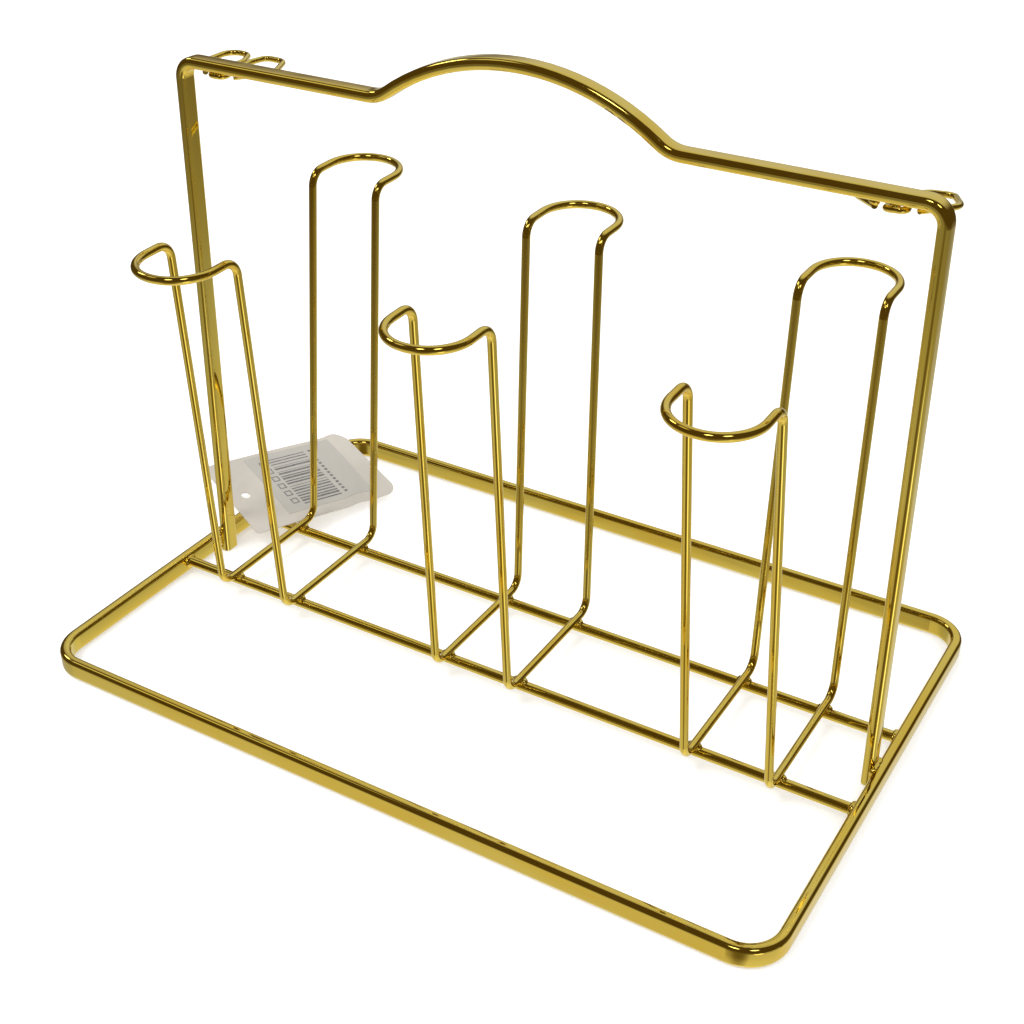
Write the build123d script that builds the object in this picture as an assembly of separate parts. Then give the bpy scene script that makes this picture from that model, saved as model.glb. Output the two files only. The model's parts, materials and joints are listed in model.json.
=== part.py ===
"""A stand for six glasses, stored upside down over upright wire arms.

Millimetres, +Z up. The origin is the middle of the base's underside, on the surface that the
stand rests on. +X runs along the base's length and +Y points to the rear.
"""

import math
import os

from build123d import *

os.makedirs("parts", exist_ok=True)

# Base frame: one flat bar on edge, bent to a rectangle.
base_length = 290.0
base_width = 193.0
base_bar_height = 8.2
base_bar_thickness = 4.0
base_corner_radius = 14.8
bar_edge_radius = 1.7

# Handle: one flat bar bent to an inverted U. Its legs stand against the insides of the short
# bars and lean in a little towards the top.
handle_y = 2.1
handle_bar_width = 7.0
handle_bar_thickness = 4.0
handle_foot_z = 0.2
handle_top_z = 205.5
handle_left_top_x = -133.9
handle_right_top_x = 135.5
handle_corner_radius = 6.0
grip_center_x = 0.9
grip_half_chord = 51.6
grip_top_z = 223.3
grip_kink_radius = 12.9

# Long rods, welded between the short bars.
rod_diameter = 4.0
rod_z = 4.8
front_rod_y = -19.6
rear_rod_y = 22.2

# Arm wires: each is one closed loop with two crossbars on top of the rods, an arm at the front
# and an arm at the rear. Every loop comes off the same bending jig and is then set by hand, so
# the leans differ a little from arm to arm.
wire_diameter = 3.0
weld_sink = 0.3
loop_center_y = 0.7
loop_depth = 58.4
loop_foot_half_width = 15.3
loop_top_half_width = 14.4
leg_length = 146.7
foot_bend_radius = 5.8
top_bend_radius = 5.9
cradle_reach = 25.3
cradle_bend_radius = 14.2
arm_sets = {
    "left": {"x": -100.4, "front": (3.4, 0.6), "rear": (5.1, 0.5)},
    "middle": {"x": -0.4, "front": (3.2, 0.1), "rear": (4.2, -1.6)},
    "right": {"x": 99.5, "front": (4.2, -1.6), "rear": (4.2, -1.2)},
}
front_cradle_droop = 1.4
rear_cradle_droop = -1.0

# Spoon hooks: thin wires with two lobes behind the top bar, welded just under it.
hook_wire_diameter = 2.0
hook_left = {"x": -118.4, "gap": 0.15, "pitch": 0.0, "roll": 0.0}
hook_right = {"x": 121.5, "gap": 0.5, "pitch": -7.0, "roll": -4.0}

# The hook's centre line seen from above: an end under the bar, the left lobe, a tight U under
# the bar, the right lobe, and the other end. x and y are from the hook's middle.
hook_points = (
    (-6.5, 2.5),
    (-15.4, 13.0),
    (-15.6, 27.2),
    (-6.9, 26.4),
    (-3.3, 19.0),
    (-3.2, 0.5),
    (3.2, 0.5),
    (-0.9, 19.0),
    (0.7, 26.6),
    (9.0, 26.4),
    (14.4, 14.0),
    (6.0, 2.5),
)
hook_bend_radii = [6.0, 4.6, 3.4, 3.4, 2.0, 2.0, 3.0, 3.0, 4.2, 6.0]

# Weld beads. A foot bead has a length and a radius, and its axis lies a little way past the
# inner face, beside the leg and below the base bar's top or middle.
crossing_bead_half_size = (2.7, 1.9, 1.2)
crossing_bead_sink = 0.1
rod_end_bead_length = 1.6
rod_end_bead_rise = 0.9
rod_end_bead_edge = 0.1
foot_across_bead = (7.8, 1.25)
foot_across_past = 0.3
foot_across_below = 0.35
foot_side_bead = (6.6, 1.1)
foot_side_short = 0.35
foot_side_beside = 0.2
foot_side_below = 0.3
hook_bead_radius = 1.0
hook_bead_places = ((-7.0, 3.1), (0.0, 0.5), (6.5, 3.2))

# Hang tag: a card that lies over the rear left corner, with a sticker on it.
card_length = 71.5
card_width = 46.0
card_thickness = 0.4
card_corner_radius = 1.0
card_end_radius = 6.0
card_hole_radius = 1.9
card_hole_from_end = 8.0
card_near_left = Vector(-124.9, 4.2, 9.8)
card_near_right = Vector(-101.7, 71.2, 0.9)
card_far_left = Vector(-166.9, 20.2, 20.3)
label_thickness = 0.12
label_start = 19.0
label_length = 43.0
label_width = 38.5
label_near_gap = 5.5
label_corner_radius = 1.0

inner_face_x = base_length / 2 - base_bar_thickness
handle_center_z = handle_top_z - handle_bar_thickness / 2
crossbar_z = rod_z + rod_diameter / 2 + wire_diameter / 2 - weld_sink
under_top_bar_z = handle_top_z - handle_bar_thickness


def save(shape, node):
    export_step(shape, f"parts/{node}.step")
    length = max(tuple(shape.bounding_box().size))
    print(f"{node}: {shape.volume:.1f} mm3, longest side {length:.1f} mm")


def sweep_wire(path, diameter):
    """A round wire along a line of straight runs and tangent arcs."""
    start = Plane(origin=path @ 0, z_dir=path % 0)
    return sweep(start * Circle(diameter / 2), path=path)


def make_base_frame():
    outline = RectangleRounded(base_length, base_width, base_corner_radius)
    window = RectangleRounded(
        base_length - 2 * base_bar_thickness,
        base_width - 2 * base_bar_thickness,
        base_corner_radius - base_bar_thickness,
    )
    ring = extrude(outline - window, base_bar_height)
    long_edges = ring.edges().filter_by(lambda edge: edge.bounding_box().size.Z < 0.01)
    return fillet(long_edges, bar_edge_radius)


def handle_path():
    """The handle's centre line: leg, corner, top bar, kink, arched grip, and back down."""
    foot_x = inner_face_x - handle_bar_thickness / 2
    rise = grip_top_z - handle_top_z
    grip_radius = (grip_half_chord**2 + rise**2) / (2 * rise)
    grip_center_z = handle_center_z + rise - grip_radius
    kink_center_z = handle_center_z + grip_kink_radius
    between = grip_radius + grip_kink_radius
    kink_dx = math.sqrt(between**2 - (kink_center_z - grip_center_z) ** 2)
    turn = math.asin(kink_dx / between)

    def on_grip(angle):
        x = grip_center_x + grip_radius * math.sin(angle)
        return Vector(x, handle_y, grip_center_z + grip_radius * math.cos(angle))

    def on_kink(side, angle):
        x = grip_center_x + side * (kink_dx - grip_kink_radius * math.sin(angle))
        return Vector(x, handle_y, kink_center_z - grip_kink_radius * math.cos(angle))

    left = FilletPolyline(
        (-foot_x, handle_y, handle_foot_z),
        (handle_left_top_x, handle_y, handle_center_z),
        on_kink(-1, 0),
        radius=handle_corner_radius,
    )
    right = FilletPolyline(
        on_kink(1, 0),
        (handle_right_top_x, handle_y, handle_center_z),
        (foot_x, handle_y, handle_foot_z),
        radius=handle_corner_radius,
    )
    rise_left = ThreePointArc(on_kink(-1, 0), on_kink(-1, turn / 2), on_kink(-1, turn))
    grip = ThreePointArc(on_grip(-turn), on_grip(0), on_grip(turn))
    fall_right = ThreePointArc(on_kink(1, turn), on_kink(1, turn / 2), on_kink(1, 0))
    return Wire(left.edges() + rise_left.edges() + grip.edges() + fall_right.edges() + right.edges())


def make_handle():
    path = handle_path()
    start = Plane(origin=path @ 0, x_dir=(0, 1, 0), z_dir=path % 0)
    section = start * RectangleRounded(handle_bar_width, handle_bar_thickness, bar_edge_radius)
    return sweep(section, path=path)


def make_rod(y):
    start = Plane(origin=(-inner_face_x, y, rod_z), x_dir=(0, 1, 0), z_dir=(1, 0, 0))
    return extrude(start * Circle(rod_diameter / 2), 2 * inner_face_x)


def arm_path(x, side, lean, side_lean, droop):
    """Half a loop: a crossbar, a leg, the C-shaped cradle, the other leg and crossbar.

    side is -1 for the front arm and 1 for the rear arm. lean and side_lean are in degrees.
    """
    foot_y = loop_center_y + side * loop_depth / 2
    out = math.sin(math.radians(lean))
    across = math.sin(math.radians(side_lean))
    up = math.sqrt(1 - out**2 - across**2)
    top_x = x + leg_length * across
    top_y = foot_y + side * leg_length * out
    top_z = crossbar_z + leg_length * up
    end_y = top_y + side * cradle_reach * math.cos(math.radians(droop))
    end_z = top_z - cradle_reach * math.sin(math.radians(droop))
    left_half = [
        (x - loop_foot_half_width, loop_center_y, crossbar_z),
        (x - loop_foot_half_width, foot_y, crossbar_z),
        (top_x - loop_top_half_width, top_y, top_z),
        (top_x - loop_top_half_width, end_y, end_z),
    ]
    right_half = [
        (top_x + loop_top_half_width, end_y, end_z),
        (top_x + loop_top_half_width, top_y, top_z),
        (x + loop_foot_half_width, foot_y, crossbar_z),
        (x + loop_foot_half_width, loop_center_y, crossbar_z),
    ]
    bends = [foot_bend_radius, top_bend_radius, cradle_bend_radius]
    return FilletPolyline(*left_half, *right_half, radius=bends + bends[::-1])


def make_arm_wire(arm_set, rods):
    front = arm_path(arm_set["x"], -1, *arm_set["front"], front_cradle_droop)
    rear = arm_path(arm_set["x"], 1, *arm_set["rear"], rear_cradle_droop)
    loop = sweep_wire(front, wire_diameter) + sweep_wire(rear, wire_diameter)
    return loop - rods


def round_bead(length, radius):
    """A straight bead with ball ends, along X about the origin."""
    end = length / 2
    profile = Polyline((-end + radius, radius), (end - radius, radius)) + Line((-end, 0), (end, 0))
    for side in (-1, 1):
        profile += ThreePointArc(
            (side * (end - radius), radius),
            (side * (end - radius + radius * math.sqrt(0.5)), radius * math.sqrt(0.5)),
            (side * end, 0),
        )
    return revolve(make_face(profile.edges()), Axis.X)


def place_hook(hook, shape):
    z = under_top_bar_z - hook_wire_diameter / 2 - hook["gap"]
    return Pos(hook["x"], 0, z) * Rot(hook["pitch"], hook["roll"], 0) * shape


def make_spoon_hook(hook):
    path = FilletPolyline(*hook_points, radius=hook_bend_radii)
    return place_hook(hook, sweep_wire(path, hook_wire_diameter))


def make_hook_welds(hook, handle, hook_wire):
    """Beads between the top bar's underside and the hook's two ends and its front U."""
    beads = []
    for x, y in hook_bead_places:
        middle = place_hook(hook, Vertex(x, y, 0)).center()
        gap = under_top_bar_z - middle.Z - hook_wire_diameter / 2
        ball = Pos(middle.X, middle.Y, under_top_bar_z - gap / 2) * Sphere(hook_bead_radius + gap / 2)
        beads.append(ball - handle - hook_wire)
    return beads


def make_crossing_welds(rods, wires):
    """A fillet on top of the rod at both sides of each crossbar that lies over it."""
    beads = []
    bead = scale(Sphere(1.0), by=crossing_bead_half_size)
    for arm_set in arm_sets.values():
        for side in (-1, 1):
            for rod_y in (front_rod_y, rear_rod_y):
                x = arm_set["x"] + side * loop_foot_half_width
                top_of_rod = Pos(x, rod_y, rod_z + rod_diameter / 2 - crossing_bead_sink)
                beads.append(top_of_rod * bead - rods - wires)
    return beads


def make_rod_end_welds(rods):
    """A short collar of weld round each rod end, against the inside of the short bar."""
    beads = []
    for side in (-1, 1):
        for rod_y in (front_rod_y, rear_rod_y):
            face = Plane(
                origin=(side * inner_face_x, rod_y, rod_z),
                x_dir=(0, 1, 0),
                z_dir=(-side, 0, 0),
            )
            collar = face * Cone(
                rod_diameter / 2 + rod_end_bead_rise,
                rod_diameter / 2 + rod_end_bead_edge,
                rod_end_bead_length,
                align=(Align.CENTER, Align.CENTER, Align.MIN),
            )
            beads.append(collar - rods)
    return beads


def make_handle_foot_welds(base, handle):
    """A bead across the top of the base bar and one down each edge of the leg, at both feet."""
    beads = []
    across = Rot(0, 0, 90) * round_bead(*foot_across_bead)
    down = Rot(0, 90, 0) * round_bead(*foot_side_bead)
    for side in (-1, 1):
        top_x = side * (inner_face_x + foot_across_past)
        top = Pos(top_x, handle_y, base_bar_height - foot_across_below)
        beads.append(top * across - base - handle)
        for edge in (-1, 1):
            y = handle_y + edge * (handle_bar_width / 2 + foot_side_beside)
            middle_z = base_bar_height / 2 - foot_side_below
            beside = Pos(side * (inner_face_x - foot_side_short), y, middle_z)
            beads.append(beside * down - base - handle)
    return beads


def card_plane():
    """The card's own plane: x along its length, y across it, from its near left corner."""
    along = (card_near_right - card_near_left).normalized()
    across = card_far_left - card_near_left
    normal = along.cross(across).normalized()
    return Plane(origin=card_near_left, x_dir=along, z_dir=normal)


def make_card(flat):
    outline = Pos(card_length / 2, card_width / 2) * Rectangle(card_length, card_width)
    ends = outline.vertices().sort_by(Axis.X)
    outline = fillet(ends[:2], card_corner_radius)
    ends = outline.vertices().sort_by(Axis.X)
    outline = fillet(ends[-2:], card_end_radius)
    hole = Pos(card_hole_from_end, card_width / 2) * Circle(card_hole_radius)
    return flat * extrude(outline - hole, card_thickness)


def make_label(flat):
    sheet = RectangleRounded(label_length, label_width, label_corner_radius)
    center_x = label_start + label_length / 2
    center_y = label_near_gap + label_width / 2
    return flat * Pos(center_x, center_y, card_thickness) * extrude(sheet, label_thickness)


def main():
    base = make_base_frame()
    save(base, "base_frame")
    handle = make_handle()
    save(handle, "handle")
    front_rod = make_rod(front_rod_y)
    save(front_rod, "front_rod")
    rear_rod = make_rod(rear_rod_y)
    save(rear_rod, "rear_rod")
    rods = [front_rod, rear_rod]

    wires = []
    for name, arm_set in arm_sets.items():
        wire = make_arm_wire(arm_set, rods)
        save(wire, f"arm_wire_{name}")
        wires.append(wire)

    for name, hook in (("left", hook_left), ("right", hook_right)):
        hook_wire = make_spoon_hook(hook)
        save(hook_wire, f"spoon_hook_{name}")
        save(Compound(make_hook_welds(hook, handle, hook_wire)), f"hook_welds_{name}")

    save(Compound(make_crossing_welds(rods, wires)), "crossing_welds")
    save(Compound(make_rod_end_welds(rods)), "rod_end_welds")
    save(Compound(make_handle_foot_welds(base, handle)), "handle_foot_welds")

    flat = card_plane()
    save(make_card(flat), "tag_card")
    save(make_label(flat), "tag_label")


main()
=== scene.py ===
import json
import math
import random

import bmesh
import bpy
from mathutils import Matrix, Vector

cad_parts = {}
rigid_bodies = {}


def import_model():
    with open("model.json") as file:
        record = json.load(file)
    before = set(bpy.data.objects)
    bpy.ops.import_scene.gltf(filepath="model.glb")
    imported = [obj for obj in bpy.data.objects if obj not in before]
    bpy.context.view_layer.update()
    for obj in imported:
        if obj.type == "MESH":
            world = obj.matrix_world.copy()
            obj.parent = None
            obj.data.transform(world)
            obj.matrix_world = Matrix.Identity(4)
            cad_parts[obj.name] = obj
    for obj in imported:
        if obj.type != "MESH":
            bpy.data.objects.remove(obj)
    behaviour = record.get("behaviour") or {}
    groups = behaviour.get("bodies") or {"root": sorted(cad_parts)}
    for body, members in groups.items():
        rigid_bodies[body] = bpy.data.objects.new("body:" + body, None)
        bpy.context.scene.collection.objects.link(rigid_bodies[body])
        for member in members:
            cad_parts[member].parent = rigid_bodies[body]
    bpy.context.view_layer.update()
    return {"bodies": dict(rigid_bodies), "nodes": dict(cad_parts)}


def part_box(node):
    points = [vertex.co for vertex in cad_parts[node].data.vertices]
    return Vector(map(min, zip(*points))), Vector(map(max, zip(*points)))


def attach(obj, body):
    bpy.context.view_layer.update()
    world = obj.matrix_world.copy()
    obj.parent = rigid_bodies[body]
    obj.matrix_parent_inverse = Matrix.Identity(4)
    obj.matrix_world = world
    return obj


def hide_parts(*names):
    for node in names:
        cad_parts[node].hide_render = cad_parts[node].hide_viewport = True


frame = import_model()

body = next(iter(frame["bodies"]))
scene = bpy.context.scene
print("frame loaded,", len(frame["nodes"]), "CAD nodes")


cameraSet = {
    "target": (-0.0004, 0.0, 0.0631),
    "distance": 0.5444,
    "azimuth": 30.96,
    "elevation": 32.21,
    "lens": 53.88,
    "sensor": 36.0,
    "clip": (0.01, 20.0),
}


def fromAngles(azimuth, elevation):
    # azimuth 0 is the front, and 90 is the +X side
    a, e = math.radians(azimuth), math.radians(elevation)
    return Vector((math.sin(a) * math.cos(e), -math.cos(a) * math.cos(e), math.sin(e)))


def makeCamera():
    data = bpy.data.cameras.new("camera")
    data.lens = cameraSet["lens"]
    data.sensor_width = cameraSet["sensor"]
    data.clip_start, data.clip_end = cameraSet["clip"]
    camera = bpy.data.objects.new("camera", data)
    scene.collection.objects.link(camera)
    away = fromAngles(cameraSet["azimuth"], cameraSet["elevation"])
    camera.location = Vector(cameraSet["target"]) + away * cameraSet["distance"]
    camera.rotation_euler = away.to_track_quat("Z", "Y").to_euler()
    scene.camera = camera


makeCamera()
scene.view_settings.view_transform = "Standard"

lightAim = (0.0, 0.0, 0.1)

# Each light: direction it comes from, distance to the aim, size, power
lightSet = {
    "keyTop": {"azimuth": 335, "elevation": 58, "distance": 1.5, "size": (0.4, 0.4), "power": 5.0},
    "rightEdge": {"azimuth": 80, "elevation": 42, "distance": 1.4, "size": (0.10, 0.8), "power": 1.2},
}


def makeLights():
    aim = Vector(lightAim)
    for name, light in lightSet.items():
        data = bpy.data.lights.new(name, "AREA")
        data.shape = "RECTANGLE"
        data.size, data.size_y = light["size"]
        data.energy = light["power"]
        lamp = bpy.data.objects.new(name, data)
        scene.collection.objects.link(lamp)
        lamp.visible_glossy = False
        away = fromAngles(light["azimuth"], light["elevation"])
        lamp.location = aim + away * light["distance"]
        lamp.rotation_euler = away.to_track_quat("Z", "Y").to_euler()


makeLights()

floorSet = {
    "size": 6.0,
    "paint": (0.92, 0.92, 0.915),
    "lift": 0.40,
    "drop": 0.0002,
}

# The room that only the metal mirrors: pale paper below, a dark warm band round the horizon and
# overhead, and soft windows and small lamps. "paper" turns dark between two sines of elevation.
# Each window: direction, full within one angle, gone beyond the other, and its color.
roomSet = {
    "dome": 0.92,
    "dark": (0.075, 0.050, 0.016),
    "paper": (0.41, 0.405, 0.36),
    "paperFull": -0.54,
    "paperGone": -0.15,
    "windows": (
        {"azimuth": 0, "elevation": -90, "inner": 20, "outer": 58, "color": (0.92, 0.88, 0.78)},
        {"azimuth": 329, "elevation": -54, "inner": 6, "outer": 33, "color": (0.64, 0.60, 0.50)},
        {"azimuth": 149, "elevation": -54, "inner": 6, "outer": 33, "color": (0.76, 0.72, 0.60)},
        {"azimuth": 206, "elevation": -30, "inner": 14, "outer": 44, "color": (0.70, 0.70, 0.66)},
        {"azimuth": 190, "elevation": 44, "inner": 24, "outer": 46, "color": (0.62, 0.62, 0.64)},
        {"azimuth": 294, "elevation": 50, "inner": 5, "outer": 12, "color": (0.75, 0.72, 0.60)},
        {"azimuth": 12, "elevation": -34, "inner": 7, "outer": 25, "color": (0.14, 0.105, 0.04)},
        {"azimuth": 55, "elevation": -34, "inner": 4, "outer": 11, "color": (1.7, 1.65, 1.4)},
        {"azimuth": 272, "elevation": 38, "inner": 4, "outer": 8, "color": (4.5, 4.5, 4.4)},
        {"azimuth": 0, "elevation": 52, "inner": 4, "outer": 8, "color": (5.0, 5.0, 4.9)},
        {"azimuth": 48, "elevation": 50, "inner": 4, "outer": 9, "color": (4.0, 4.0, 3.9)},
    ),
}


class Shader:
    # builds one node material, and hands back sockets to wire
    def __init__(self, name):
        self.material = bpy.data.materials.new(name)
        self.material.use_nodes = True
        self.tree = self.material.node_tree
        self.tree.nodes.clear()
        self.output = self.tree.nodes.new("ShaderNodeOutputMaterial")
        self.coord = self.tree.nodes.new("ShaderNodeTexCoord")

    def node(self, kind, inputs=None, **settings):
        made = self.tree.nodes.new(kind)
        for key, value in settings.items():
            setattr(made, key, value)
        for key, value in (inputs or {}).items():
            self.feed(made.inputs[key], value)
        return made

    def feed(self, socket, value):
        if isinstance(value, bpy.types.NodeSocket):
            self.tree.links.new(value, socket)
        else:
            socket.default_value = value

    def math(self, operation, *values):
        made = self.node("ShaderNodeMath", operation=operation)
        for socket, value in zip(made.inputs, values):
            self.feed(socket, value)
        return made.outputs[0]

    def noise(self, scale, detail=3.0, roughness=0.5, vector=None):
        inputs = {"Scale": scale, "Detail": detail, "Roughness": roughness}
        inputs["Vector"] = vector or self.coord.outputs["Object"]
        return self.node("ShaderNodeTexNoise", inputs).outputs["Fac"]

    def ramp(self, value, low, high, lowOut=0.0, highOut=1.0):
        inputs = {"Value": value, "From Min": low, "From Max": high}
        inputs.update({"To Min": lowOut, "To Max": highOut})
        return self.node("ShaderNodeMapRange", inputs).outputs["Result"]

    def mix(self, factor, first, second):
        made = self.node("ShaderNodeMix", data_type="RGBA")
        self.feed(made.inputs["Factor"], factor)
        self.feed(made.inputs["A"], first)
        self.feed(made.inputs["B"], second)
        return made.outputs["Result"]

    def bump(self, height, strength, distance, normal=None):
        inputs = {"Height": height, "Strength": strength, "Distance": distance}
        if normal:
            inputs["Normal"] = normal
        return self.node("ShaderNodeBump", inputs).outputs["Normal"]

    def finish(self, shader):
        self.tree.links.new(shader.outputs[0], self.output.inputs["Surface"])
        return self.material


def rgba(color):
    return (*color, 1.0)


def makeFloor():
    s = Shader("floorPaint")
    paint = rgba(floorSet["paint"])
    paper = s.node("ShaderNodeBsdfDiffuse", {"Color": paint})
    lift = s.node("ShaderNodeEmission", {"Color": paint, "Strength": floorSet["lift"]})
    seen = s.node("ShaderNodeAddShader")
    s.tree.links.new(paper.outputs[0], seen.inputs[0])
    s.tree.links.new(lift.outputs[0], seen.inputs[1])
    # mirror reflections look through the paper into the room
    path = s.node("ShaderNodeLightPath")
    both = s.node("ShaderNodeMixShader", {"Fac": path.outputs["Is Glossy Ray"]})
    s.tree.links.new(seen.outputs[0], both.inputs[1])
    s.tree.links.new(s.node("ShaderNodeBsdfTransparent").outputs[0], both.inputs[2])
    bm = bmesh.new()
    bmesh.ops.create_grid(bm, x_segments=1, y_segments=1, size=floorSet["size"] / 2)
    mesh = bpy.data.meshes.new("floor")
    bm.to_mesh(mesh)
    bm.free()
    mesh.materials.append(s.finish(both))
    floor = bpy.data.objects.new("floor", mesh)
    scene.collection.objects.link(floor)
    floor.location.z = -floorSet["drop"]


def makeRoom():
    world = bpy.data.worlds.new("room")
    world.use_nodes = True
    scene.world = world
    tree = world.node_tree
    add = tree.nodes.new
    link = tree.links.new
    direction = add("ShaderNodeTexCoord").outputs["Generated"]

    def fade(value, low, high):
        made = add("ShaderNodeMapRange")
        made.interpolation_type = "SMOOTHSTEP"
        made.inputs["From Min"].default_value = low
        made.inputs["From Max"].default_value = high
        link(value, made.inputs["Value"])
        return made.outputs["Result"]

    def blend(factor, first, second):
        made = add("ShaderNodeMix")
        made.data_type = "RGBA"
        link(factor, made.inputs["Factor"])
        for name, value in (("A", first), ("B", second)):
            if isinstance(value, bpy.types.NodeSocket):
                link(value, made.inputs[name])
            else:
                made.inputs[name].default_value = rgba(value)
        return made.outputs["Result"]

    split = add("ShaderNodeSeparateXYZ")
    link(direction, split.inputs[0])
    horizon = fade(split.outputs["Z"], roomSet["paperFull"], roomSet["paperGone"])
    total = blend(horizon, roomSet["paper"], roomSet["dark"])
    for window in roomSet["windows"]:
        dot = add("ShaderNodeVectorMath")
        dot.operation = "DOT_PRODUCT"
        link(direction, dot.inputs[0])
        dot.inputs[1].default_value = fromAngles(window["azimuth"], window["elevation"])
        outer, inner = (math.cos(math.radians(window[key])) for key in ("outer", "inner"))
        total = blend(fade(dot.outputs["Value"], outer, inner), total, window["color"])
    glossy = add("ShaderNodeLightPath").outputs["Is Glossy Ray"]
    seen = blend(glossy, (roomSet["dome"],) * 3, total)
    link(seen, tree.nodes["Background"].inputs["Color"])


makeFloor()
makeRoom()
print("camera, lights, floor and room made")


# Pattern scales are in features per metre, and heights in metres
goldSet = {
    "plate": (0.89, 0.660, 0.112),
    "deep": (0.87, 0.590, 0.070),
    "pale": (0.90, 0.700, 0.150),
    "speckColor": (0.40, 0.24, 0.05),
    "stainColor": (0.42, 0.21, 0.04),
    "roughness": (0.03, 0.08),
    "haze": 210.0,
    "drift": 26.0,
    "patch": 95.0,
    "patchShare": 0.6,
    "wave": 160.0,
    "waveHeight": 0.00012,
    "crownHeight": 0.00013,
    "grain": 5200.0,
    "grainHeight": 0.0000007,
    "speck": 1500.0,
    "speckGaps": 160.0,
    "speckShare": 0.3,
    "speckRough": 0.12,
    "smoke": 420.0,
}


def makeGold(name, stretch=(1.0, 1.0, 1.0), lumps=1.0, polish=1.0, stain=0.0, crown=None):
    # mirror plating: slow color drift, reflections that waver along the draw of the metal,
    # a very fine grain and a few specks; crown names a bar and the axis its faces bulge across
    s = Shader(name)
    coord = s.coord.outputs["Object"]
    drawn = s.node("ShaderNodeVectorMath", {0: coord, 1: stretch}, operation="MULTIPLY").outputs["Vector"]
    drift = s.ramp(s.noise(goldSet["drift"], 2.0), 0.38, 0.62)
    patch = s.ramp(s.noise(goldSet["patch"], 3.0, vector=drawn), 0.5, 0.68)
    color = s.mix(drift, rgba(goldSet["plate"]), rgba(goldSet["pale"]))
    color = s.mix(s.math("MULTIPLY", patch, goldSet["patchShare"]), color, rgba(goldSet["deep"]))
    specks = s.node("ShaderNodeTexVoronoi", {"Vector": coord, "Scale": goldSet["speck"]})
    speck = s.ramp(specks.outputs["Distance"], 0.05, 0.13, 1.0, 0.0)
    sparse = s.ramp(s.noise(goldSet["speckGaps"], 1.0), 0.62, 0.70)
    speck = s.math("MULTIPLY", speck, sparse)
    color = s.mix(s.math("MULTIPLY", speck, goldSet["speckShare"]), color, rgba(goldSet["speckColor"]))
    if stain:
        smoke = s.ramp(s.noise(goldSet["smoke"], 4.0, 0.6), 0.42, 0.66)
        color = s.mix(s.math("MULTIPLY", smoke, stain), color, rgba(goldSet["stainColor"]))
    low, high = goldSet["roughness"]
    rough = s.ramp(s.noise(goldSet["haze"], 4.0, 0.6), 0.35, 0.7, low * polish, high * polish)
    rough = s.math("ADD", rough, s.math("MULTIPLY", speck, goldSet["speckRough"]))
    wave = s.bump(s.noise(goldSet["wave"], 1.0, vector=drawn), 1.0, goldSet["waveHeight"] * lumps)
    if crown:
        barName, axis = crown
        start, end = (corner["XYZ".index(axis)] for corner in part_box(barName))
        split = s.node("ShaderNodeSeparateXYZ", {"Vector": coord})
        place = s.ramp(split.outputs[axis], start, end, -1.0, 1.0)
        dome = s.math("MULTIPLY", s.math("MULTIPLY", place, place), -1.0)
        wave = s.bump(dome, 1.0, goldSet["crownHeight"], wave)
    grain = s.bump(s.noise(goldSet["grain"], 2.0), 1.0, goldSet["grainHeight"], wave)
    metal = s.node("ShaderNodeBsdfPrincipled", {"Base Color": color, "Roughness": rough, "Normal": grain})
    metal.inputs["Metallic"].default_value = 1.0
    return s.finish(metal)


frameGold = makeGold("goldFrame", stretch=(0.16, 0.16, 1.0), lumps=1.5, crown=("base_frame", "Z"))
handleGold = makeGold("goldHandle", stretch=(0.5, 1.0, 0.14), lumps=1.3, crown=("handle", "Y"))
rodGold = makeGold("goldRod", stretch=(0.10, 1.0, 1.0), lumps=0.5)
wireGold = makeGold("goldWire", stretch=(1.0, 0.7, 0.10), lumps=0.5)
weldGold = makeGold("goldWeld", lumps=0.5, polish=1.3, stain=0.14)

metalOf = {
    "base_frame": frameGold,
    "handle": handleGold,
    "front_rod": rodGold,
    "rear_rod": rodGold,
    "arm_wire_left": wireGold,
    "arm_wire_middle": wireGold,
    "arm_wire_right": wireGold,
    "spoon_hook_left": rodGold,
    "spoon_hook_right": rodGold,
}
for nodeName, metal in metalOf.items():
    for materialSlot in frame["nodes"][nodeName].material_slots:
        materialSlot.material = metal
print("gold plating on", len(metalOf), "bars and wires")


def addPiece(name, bm, material):
    mesh = bpy.data.meshes.new(name)
    bm.to_mesh(mesh)
    bm.free()
    mesh.materials.append(material)
    piece = bpy.data.objects.new(name, mesh)
    scene.collection.objects.link(piece)
    return piece


def settle(piece):
    # applies the modifiers, so that the mesh is final
    bpy.context.view_layer.update()
    evaluated = piece.evaluated_get(bpy.context.evaluated_depsgraph_get())
    mesh = bpy.data.meshes.new_from_object(evaluated)
    piece.modifiers.clear()
    piece.data = mesh
    return piece


# Corners nearer than this are one corner
sameCorner = 1e-6
rodSides = 28
ballSteps = 3


def islandBoxes(nodeName):
    # lowest and highest corner of each separate solid of a CAD node, left to right
    bm = bmesh.new()
    bm.from_mesh(frame["nodes"][nodeName].data)
    bmesh.ops.remove_doubles(bm, verts=bm.verts, dist=sameCorner)
    left = set(bm.verts)
    boxes = []
    while left:
        queue = [left.pop()]
        places = []
        while queue:
            vert = queue.pop()
            places.append(vert.co.copy())
            for edge in vert.link_edges:
                other = edge.other_vert(vert)
                if other in left:
                    left.remove(other)
                    queue.append(other)
        low = Vector([min(place[axis] for place in places) for axis in range(3)])
        high = Vector([max(place[axis] for place in places) for axis in range(3)])
        boxes.append((low, high))
    bm.free()
    return sorted(boxes, key=lambda pair: tuple(round(value, 5) for value in pair[0]))


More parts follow.
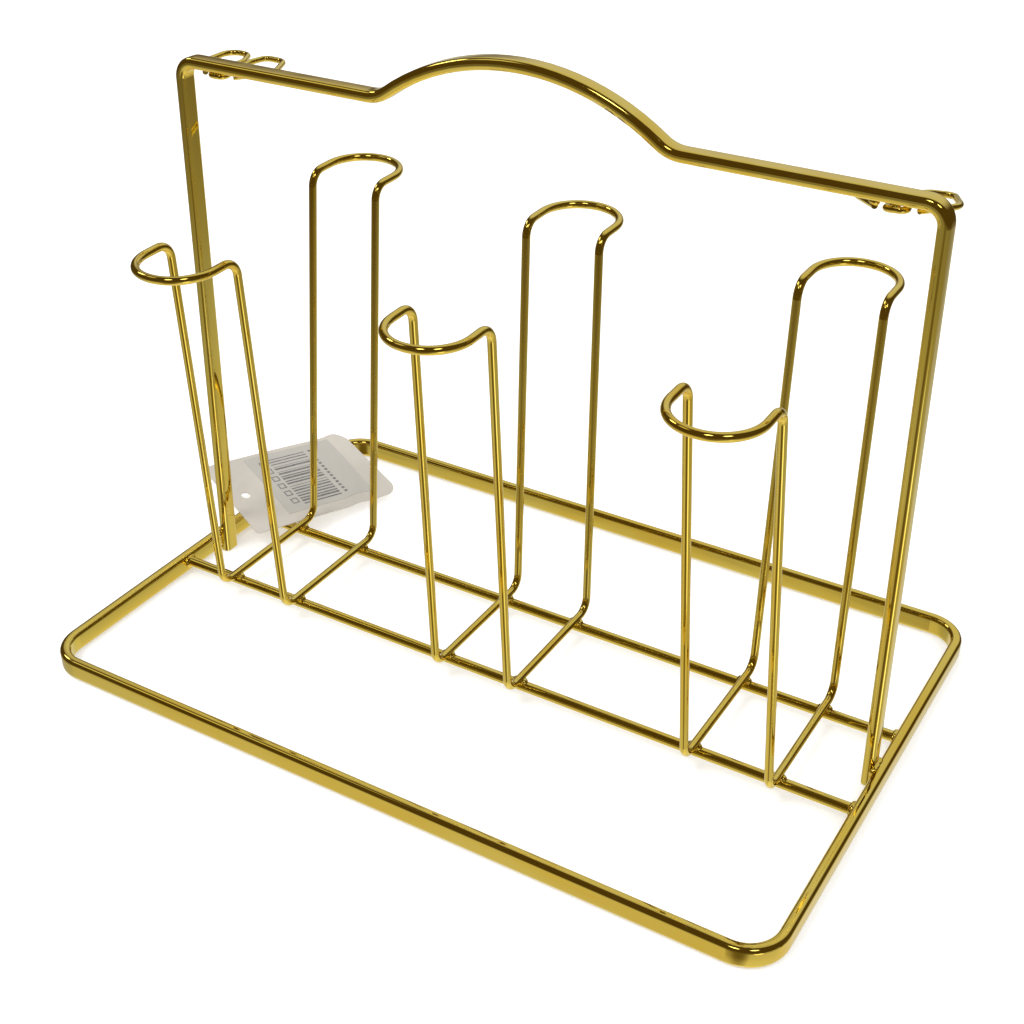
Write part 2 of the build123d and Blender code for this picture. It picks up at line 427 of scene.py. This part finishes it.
def addRod(bm, middle, axis, length, radius):
    turn = Vector(axis).to_track_quat("Z", "X").to_matrix().to_4x4()
    bmesh.ops.create_cone(
        bm, cap_ends=True, segments=rodSides, radius1=radius, radius2=radius, depth=length,
        matrix=Matrix.Translation(middle) @ turn,
    )


def scaledAt(middle, size):
    return Matrix.Translation(middle) @ Matrix.Diagonal((*size, 1.0))


def addBlock(bm, middle, size):
    bmesh.ops.create_cube(bm, size=1.0, matrix=scaledAt(middle, size))


def addBall(bm, middle, size):
    bmesh.ops.create_icosphere(bm, subdivisions=ballSteps, radius=1.0, matrix=scaledAt(middle, size))


weldSet = {
    "seed": 71,
    "voxel": 0.00022,
    "smoothing": 0.5,
    "passes": 14,
    "hidden": 0.00006,
    "lump": 0.00014,
}
wireRadius = 0.0015
rodRadius = 0.002
rng = random.Random(weldSet["seed"])


def jitter():
    size = weldSet["lump"]
    return Vector([rng.uniform(-size, size) for _ in range(3)])


def weldPiece(name, nodeName, bm):
    # stubs of the joined wires and their beads flow into one smooth fillet
    piece = addPiece(name, bm, weldGold)
    remesh = piece.modifiers.new("remesh", "REMESH")
    remesh.mode = "VOXEL"
    remesh.voxel_size = weldSet["voxel"]
    remesh.use_smooth_shade = True
    smooth = piece.modifiers.new("smooth", "SMOOTH")
    smooth.factor = weldSet["smoothing"]
    smooth.iterations = weldSet["passes"]
    settle(piece)
    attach(piece, body)
    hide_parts(nodeName)
    print(name, len(piece.data.polygons), "faces")


crossingSet = {
    "rodStub": 0.0062,
    "wireStub": 0.0056,
    "reach": (0.0013, 0.0018),
    "rise": 0.0003,
    "bead": (0.0013, 0.0014, 0.00095),
}


def makeCrossingWelds():
    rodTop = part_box("front_rod")[1].z
    rodAxis = rodTop - rodRadius
    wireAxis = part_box("arm_wire_left")[0].z + wireRadius
    bm = bmesh.new()
    for low, high in islandBoxes("crossing_welds"):
        middle = (low + high) / 2
        rodMiddle = Vector((middle.x, middle.y, rodAxis))
        wireMiddle = Vector((middle.x, middle.y, wireAxis))
        addRod(bm, rodMiddle, (1, 0, 0), crossingSet["rodStub"], rodRadius - weldSet["hidden"])
        addRod(bm, wireMiddle, (0, 1, 0), crossingSet["wireStub"], wireRadius - weldSet["hidden"])
        for side in (-1, 1):
            beadX = middle.x + side * rng.uniform(*crossingSet["reach"])
            place = Vector((beadX, middle.y, rodTop + crossingSet["rise"]))
            addBall(bm, place + jitter(), crossingSet["bead"])
    weldPiece("crossingFillets", "crossing_welds", bm)


rodEndSet = {
    "stub": 0.005,
    "stubBack": 0.0018,
    "beads": 9,
    "ring": 0.0019,
    "ringBack": 0.0002,
    "bead": (0.0011, 0.0011, 0.0011),
    "highest": 0.0062,
}


def makeRodEndWelds():
    # a ring of small beads round each rod end
    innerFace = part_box("front_rod")[1].x
    bm = bmesh.new()
    for low, high in islandBoxes("rod_end_welds"):
        middle = (low + high) / 2
        side = 1 if middle.x > 0 else -1
        stubMiddle = Vector((side * (innerFace - rodEndSet["stubBack"]), middle.y, middle.z))
        addRod(bm, stubMiddle, (1, 0, 0), rodEndSet["stub"], rodRadius - weldSet["hidden"])
        ringMiddle = Vector((side * (innerFace - rodEndSet["ringBack"]), middle.y, middle.z))
        for turn in range(rodEndSet["beads"]):
            angle = turn * math.tau / rodEndSet["beads"]
            offset = Vector((0, math.cos(angle), math.sin(angle))) * rodEndSet["ring"]
            place = ringMiddle + offset + jitter()
            place.z = min(place.z, rodEndSet["highest"])
            addBall(bm, place, rodEndSet["bead"])
    weldPiece("rodEndFillets", "rod_end_welds", bm)


footSet = {
    "legCore": (0.0034, 0.0050, 0.0090),
    "coreBack": 0.0021,
    "coreMiddle": 0.0055,
    "beads": 6,
    "step": 0.0011,
    "topPast": 0.0002,
    "topBelow": 0.0006,
    "topBead": (0.0013, 0.0012, 0.0010),
    "sideBack": 0.0004,
    "sideOut": 0.0034,
    "sideStart": 0.0016,
    "sideBead": (0.0011, 0.0010, 0.0011),
}


def makeFootWelds():
    # one low bead along the top of the base bar, and one up each edge of the leg
    handleLow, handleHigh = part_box("handle")
    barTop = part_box("base_frame")[1].z
    faceX = handleHigh.x
    legY = (handleLow.y + handleHigh.y) / 2
    bm = bmesh.new()
    for side in (-1, 1):
        coreMiddle = (side * (faceX - footSet["coreBack"]), legY, footSet["coreMiddle"])
        addBlock(bm, coreMiddle, footSet["legCore"])
        for step in range(footSet["beads"]):
            y = legY + (step - (footSet["beads"] - 1) / 2) * footSet["step"]
            place = Vector((side * (faceX + footSet["topPast"]), y, barTop - footSet["topBelow"]))
            addBall(bm, place + jitter(), footSet["topBead"])
        for edge in (-1, 1):
            y = legY + edge * footSet["sideOut"]
            for step in range(footSet["beads"]):
                z = footSet["sideStart"] + step * footSet["step"]
                place = Vector((side * (faceX - footSet["sideBack"]), y, z))
                addBall(bm, place + jitter(), footSet["sideBead"])
    weldPiece("footFillets", "handle_foot_welds", bm)


# The second lump of each hook bead, as shares of half the bead's size
hookSet = {
    "shift": 0.4,
    "size": 0.7,
}


def makeHookWelds(side):
    # each bead is a pair of small lumps
    bm = bmesh.new()
    for low, high in islandBoxes(f"hook_welds_{side}"):
        middle = (low + high) / 2
        size = (high - low) / 2
        addBall(bm, middle, size)
        second = middle + Vector((size.x, 0, -size.z)) * hookSet["shift"]
        addBall(bm, second + jitter(), size * hookSet["size"])
    weldPiece(f"hookFillets_{side}", f"hook_welds_{side}", bm)


makeCrossingWelds()
makeRodEndWelds()
makeFootWelds()
makeHookWelds("left")
makeHookWelds("right")
print("weld fillets made")


tagSet = {
    "nearLeft": (-0.1249, 0.0042, 0.0098),
    "nearRight": (-0.1017, 0.0712, 0.0009),
    "farLeft": (-0.1669, 0.0202, 0.0203),
    "length": 0.0715,
    "width": 0.0460,
    "thickness": 0.0004,
    "cells": (96, 60),
    "nearCorner": 0.0010,
    "endCorner": 0.0060,
    "cornerSteps": 10,
    "cutDepth": 0.01,
    "holeRadius": 0.0019,
    "holeFromEnd": 0.0080,
    "bow": 0.0004,
    "creaseStart": 0.0513,
    "creaseLean": 0.31,
    "creaseWidth": 0.0038,
    "creaseHeight": 0.0011,
    "flapLift": 0.10,
    "labelStart": 0.0190,
    "labelLength": 0.0430,
    "labelWidth": 0.0385,
    "labelGap": 0.0055,
    "labelThickness": 0.00012,
    "labelCells": (70, 60),
}


def tagPlane():
    origin = Vector(tagSet["nearLeft"])
    along = (Vector(tagSet["nearRight"]) - origin).normalized()
    normal = along.cross(Vector(tagSet["farLeft"]) - origin).normalized()
    across = normal.cross(along)
    turn = Matrix((along, across, normal)).transposed().to_4x4()
    return Matrix.Translation(origin) @ turn


def curlAt(x, y):
    # the card is a little bowed, with a soft slanting crease near its far end, and the flap
    # beyond it is bent up
    bow = math.sin(math.pi * min(max(x / tagSet["length"], 0.0), 1.0))
    past = x - tagSet["creaseStart"] - y * tagSet["creaseLean"]
    ridge = math.exp(-((past / tagSet["creaseWidth"]) ** 2))
    return tagSet["bow"] * bow + tagSet["creaseHeight"] * ridge + tagSet["flapLift"] * max(past, 0.0)


def roundedPrism(length, width, depth, cornerAt):
    # a block with its upright edges rounded, by cornerAt(False) at its start and cornerAt(True)
    # at its far end
    bm = bmesh.new()
    addBlock(bm, (length / 2, width / 2, 0.0), (length, width, depth))
    for atEnd in (False, True):
        edges = []
        for edge in bm.edges:
            first, second = (vert.co for vert in edge.verts)
            if abs(first.z - second.z) > depth / 2 and (first.x > length / 2) == atEnd:
                edges.append(edge)
        bmesh.ops.bevel(
            bm, geom=edges, offset=cornerAt(atEnd), segments=tagSet["cornerSteps"], profile=0.5,
            affect="EDGES", material=-1, offset_type="OFFSET",
        )
    return bm


def cutBy(piece, bm, operation):
    mesh = bpy.data.meshes.new("cutter")
    bm.to_mesh(mesh)
    bm.free()
    cutter = bpy.data.objects.new("cutter", mesh)
    scene.collection.objects.link(cutter)
    cut = piece.modifiers.new("cut", "BOOLEAN")
    cut.operation = operation
    cut.solver = "EXACT"
    cut.object = cutter
    settle(piece)
    bpy.data.objects.remove(cutter)


def flatSheet(name, corner, size, cells, thickness, material):
    # a fine grid with a thickness, lying in its own flat plane
    bm = bmesh.new()
    middle = (corner[0] + size[0] / 2, corner[1] + size[1] / 2, 0.0)
    bmesh.ops.create_grid(
        bm, x_segments=cells[0], y_segments=cells[1], size=0.5,
        matrix=scaledAt(middle, (*size, 1.0)),
    )
    piece = addPiece(name, bm, material)
    thicken = piece.modifiers.new("thickness", "SOLIDIFY")
    thicken.thickness = thickness
    thicken.offset = 1.0
    return settle(piece)


def layOnTag(piece, lift):
    # bows the flat sheet, writes its pattern map, and turns it into place
    pattern = piece.data.uv_layers.new(name="pattern")
    for loop in piece.data.loops:
        co = piece.data.vertices[loop.vertex_index].co
        pattern.data[loop.index].uv = (co.x / tagSet["length"], co.y / tagSet["length"])
    for vert in piece.data.vertices:
        vert.co.z += lift + curlAt(vert.co.x, vert.co.y)
    piece.data.transform(tagPlane())
    for face in piece.data.polygons:
        face.use_smooth = False
    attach(piece, body)


cardSet = {
    "paper": (0.60, 0.555, 0.485),
    "pale": (0.67, 0.62, 0.545),
    "fibreColor": (0.48, 0.445, 0.39),
    "fibre": 2600.0,
    "fibreHeight": 0.00003,
    "cloud": 60.0,
}


def makeCardPaper():
    s = Shader("cardPaper")
    fibre = s.noise(cardSet["fibre"], 4.0, 0.65)
    cloud = s.ramp(s.noise(cardSet["cloud"], 3.0), 0.35, 0.65)
    color = s.mix(cloud, rgba(cardSet["paper"]), rgba(cardSet["pale"]))
    color = s.mix(s.ramp(fibre, 0.35, 0.7, 0.0, 0.15), color, rgba(cardSet["fibreColor"]))
    normal = s.bump(fibre, 0.5, cardSet["fibreHeight"])
    rough = s.ramp(fibre, 0.3, 0.7, 0.55, 0.75)
    paper = s.node("ShaderNodeBsdfPrincipled", {"Base Color": color, "Roughness": rough, "Normal": normal})
    return s.finish(paper)


# The sticker: its print in millimetres along and across the card, and its paper
printSet = {
    "barsAlong": (28.5, 47.5),
    "barsAcross": (8.5, 40.5),
    "barPitch": 1.72,
    "barShare": (0.18, 0.74),
    "smallDashes": (49.5, 50.9),
    "smallPitch": 2.3,
    "boxes": (23.9, 27.2),
    "boxPitch": 5.2,
    "boxLine": 0.55,
    "dashShare": 0.55,
    "ink": (0.085, 0.085, 0.09),
    "paper": (0.53, 0.505, 0.45),
    "fibreColor": (0.45, 0.43, 0.385),
    "fibre": 3400.0,
    "fibreHeight": 0.00001,
    "wear": 900.0,
}


def between(s, value, low, high):
    above = s.math("GREATER_THAN", value, low)
    return s.math("MULTIPLY", above, s.math("LESS_THAN", value, high))


def makeLabelPaper():
    # satin sticker with plain printed bars of chance widths and dashes, and no lettering
    s = Shader("labelPaper")
    split = s.node("ShaderNodeSeparateXYZ", {"Vector": s.coord.outputs["UV"]})
    toMillimetres = tagSet["length"] * 1000
    along = s.math("MULTIPLY", split.outputs["X"], toMillimetres)
    across = s.math("MULTIPLY", split.outputs["Y"], toMillimetres)
    step = s.math("DIVIDE", across, printSet["barPitch"])
    chance = s.node("ShaderNodeTexWhiteNoise", {"W": s.math("FLOOR", step)}, noise_dimensions="1D")
    share = s.ramp(chance.outputs["Value"], 0.0, 1.0, *printSet["barShare"])
    bar = s.math("LESS_THAN", s.math("FRACT", step), share)
    bars = s.math("MULTIPLY", bar, between(s, along, *printSet["barsAlong"]))
    dashStep = s.math("DIVIDE", across, printSet["smallPitch"])
    dash = s.math("LESS_THAN", s.math("FRACT", dashStep), printSet["dashShare"])
    dashes = s.math("MULTIPLY", dash, between(s, along, *printSet["smallDashes"]))
    # a row of plain open boxes stands where a number would be
    boxStep = s.math("DIVIDE", across, printSet["boxPitch"])
    place = s.math("MULTIPLY", s.math("FRACT", boxStep), printSet["boxPitch"])
    low, high = printSet["boxes"]
    edge = printSet["boxLine"]
    tall = high - low
    whole = s.math("MULTIPLY", between(s, place, 0.0, tall), between(s, along, low, high))
    insideAcross = between(s, place, edge, tall - edge)
    inside = s.math("MULTIPLY", insideAcross, between(s, along, low + edge, high - edge))
    boxes = s.math("SUBTRACT", whole, inside)
    ink = s.math("MAXIMUM", s.math("MAXIMUM", bars, dashes), boxes)
    ink = s.math("MULTIPLY", ink, between(s, across, *printSet["barsAcross"]))
    fibre = s.noise(printSet["fibre"], 3.0, 0.6)
    fade = s.ramp(s.noise(printSet["wear"], 3.0), 0.3, 0.7, 0.62, 0.9)
    threads = s.ramp(fibre, 0.3, 0.7, 0.0, 0.1)
    color = s.mix(threads, rgba(printSet["paper"]), rgba(printSet["fibreColor"]))
    color = s.mix(s.math("MULTIPLY", ink, fade), color, rgba(printSet["ink"]))
    rough = s.ramp(fibre, 0.3, 0.7, 0.35, 0.48)
    normal = s.bump(fibre, 0.3, printSet["fibreHeight"])
    paper = s.node("ShaderNodeBsdfPrincipled", {"Base Color": color, "Roughness": rough, "Normal": normal})
    return s.finish(paper)


def makeTag():
    length, width = tagSet["length"], tagSet["width"]
    card = flatSheet(
        "hangTag", (0, 0), (length, width), tagSet["cells"], tagSet["thickness"], makeCardPaper()
    )
    corners = {False: tagSet["nearCorner"], True: tagSet["endCorner"]}
    cutBy(card, roundedPrism(length, width, tagSet["cutDepth"], corners.get), "INTERSECT")
    hole = bmesh.new()
    holeMiddle = Vector((tagSet["holeFromEnd"], width / 2, 0))
    addRod(hole, holeMiddle, (0, 0, 1), tagSet["cutDepth"], tagSet["holeRadius"])
    cutBy(card, hole, "DIFFERENCE")
    layOnTag(card, 0.0)
    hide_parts("tag_card")
    corner = (tagSet["labelStart"], tagSet["labelGap"])
    size = (tagSet["labelLength"], tagSet["labelWidth"])
    label = flatSheet(
        "tagSticker", corner, size, tagSet["labelCells"], tagSet["labelThickness"], makeLabelPaper()
    )
    layOnTag(label, tagSet["thickness"])
    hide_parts("tag_label")


makeTag()
print("hang tag made")
